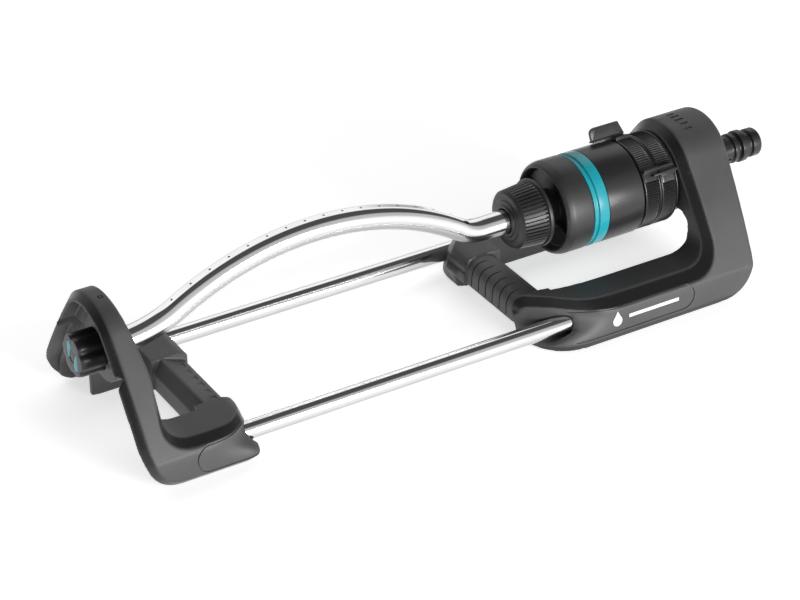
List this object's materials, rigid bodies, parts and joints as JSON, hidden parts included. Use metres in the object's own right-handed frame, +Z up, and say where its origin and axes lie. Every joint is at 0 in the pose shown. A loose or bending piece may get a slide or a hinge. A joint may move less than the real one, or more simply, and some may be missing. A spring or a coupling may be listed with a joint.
{
  "type": "oscillating sprinkler",
  "caption": "Oscillating lawn sprinkler: arched aluminium spray tube with a row of nozzles, swung by a water-driven gear barrel on a low frame of two tubes and two arched feet.",
  "frame": {"origin": "on the ground, below the middle of the bounding box", "axes": "+X along the spray axis from the end knob to the hose connector, +Y towards the far side, +Z up"},
  "size_m": [0.463, 0.136, 0.0981],
  "materials": {
    "frame_plastic": "fine-grained dark grey moulded plastic",
    "aluminium": "polished drawn tube",
    "polished_tube": "polished drawn tube with a flat along its top",
    "screw_steel": "zinc-plated steel",
    "white_acetal": "natural acetal, satin",
    "black_plastic": "black plastic, satin",
    "ring_plastic": "black plastic, ribbed, satin",
    "gloss_black": "black plastic, smooth and glossy",
    "grey_plastic": "grey plastic, satin",
    "turquoise": "turquoise plastic, satin gloss",
    "seal_rubber": "nitrile rubber",
    "filter_mesh": "fine stainless mesh"
  },
  "bodies": {
    "frame": {"rear_frame": "frame_plastic", "front_foot": "frame_plastic", "frame_tube_near": "aluminium", "frame_tube_far": "aluminium", "frame_screw_front_near": "screw_steel", "frame_screw_front_far": "screw_steel", "frame_screw_rear_near": "screw_steel", "frame_screw_rear_far": "screw_steel", "front_bush": "white_acetal", "inlet_hub": "black_plastic", "fixed_gear": "white_acetal", "hub_seal": "seal_rubber"},
    "spray_unit": {"spray_tube": "polished_tube", "end_plug": "black_plastic", "end_plug_seal": "seal_rubber", "tube_ferrule": "white_acetal", "tube_seal": "seal_rubber", "barrel_front_shell": "black_plastic", "trim_band": "turquoise", "barrel_rear_shell": "gloss_black", "jet_plate": "grey_plastic", "gear_plate_front": "grey_plastic", "gear_plate_rear": "grey_plastic", "compound_pin": "screw_steel", "lever_pin": "screw_steel"},
    "knob": {"end_knob": "gloss_black", "knob_insert_upper": "turquoise", "knob_insert_lower": "turquoise", "cleaning_needle": "screw_steel"},
    "nut": {"union_nut": "black_plastic"},
    "turbine": {"turbine_rotor": "white_acetal", "turbine_shaft": "screw_steel", "turbine_pinion": "white_acetal"},
    "compound_train": {"compound_gear": "white_acetal"},
    "output_train": {"output_gear": "white_acetal", "output_shaft": "screw_steel", "output_pinion": "white_acetal"},
    "lever": {"reversing_lever": "black_plastic"},
    "ring_front": {"range_ring_front": "ring_plastic"},
    "ring_rear": {"range_ring_rear": "ring_plastic"},
    "connector": {"hose_connector": "gloss_black", "connector_seal": "seal_rubber", "filter_screen": "filter_mesh"}
  },
  "joints": [
    {"name": "spray_swing", "type": "hinge", "parent": "frame", "child": "spray_unit", "pos_m": [0, 0, 0.0573], "axis": [1, 0, 0], "range_deg": [-45, 45]},
    {"name": "output_spin", "type": "hinge", "parent": "spray_unit", "child": "output_train", "pos_m": [0.11, -0.01257, 0.07228], "axis": [1, 0, 0], "range_deg": [-172, 172]},
    {"name": "compound_spin", "type": "hinge", "parent": "spray_unit", "child": "compound_train", "pos_m": [0.103, -0.01129, 0.06321], "axis": [1, 0, 0], "range_deg": [-300.25, 300.25]},
    {"name": "turbine_spin", "type": "hinge", "parent": "spray_unit", "child": "turbine", "pos_m": [0.0895, 0, 0.0573], "axis": [1, 0, 0], "range_deg": [-630.42, 630.42]},
    {"name": "reversing_lever_flip", "type": "hinge", "parent": "spray_unit", "child": "lever", "pos_m": [0.121, 0.01379, 0.04573], "axis": [1, 0, 0], "range_deg": [-8, 8]},
    {"name": "knob_turn", "type": "hinge", "parent": "spray_unit", "child": "knob", "pos_m": [-0.224, 0, 0.0573], "axis": [1, 0, 0], "range_deg": [-90, 0]},
    {"name": "union_nut_turn", "type": "hinge", "parent": "spray_unit", "child": "nut", "pos_m": [0.058, 0, 0.0573], "axis": [1, 0, 0], "range_deg": [-180, 0]},
    {"name": "range_front_turn", "type": "hinge", "parent": "frame", "child": "ring_front", "pos_m": [0.1355, 0, 0.0573], "axis": [1, 0, 0], "range_deg": [-40, 0]},
    {"name": "range_rear_turn", "type": "hinge", "parent": "frame", "child": "ring_rear", "pos_m": [0.1475, 0, 0.0573], "axis": [1, 0, 0], "range_deg": [0, 40]},
    {"name": "connector_turn", "type": "hinge", "parent": "frame", "child": "connector", "pos_m": [0.2, 0, 0.0573], "axis": [1, 0, 0], "range_deg": [0, 60]}
  ],
  "couplings": [
    {"joint": "output_spin", "follows": "spray_swing", "ratio": 3.8},
    {"joint": "compound_spin", "follows": "spray_swing", "ratio": -6.65},
    {"joint": "turbine_spin", "follows": "spray_swing", "ratio": 13.965}
  ]
}
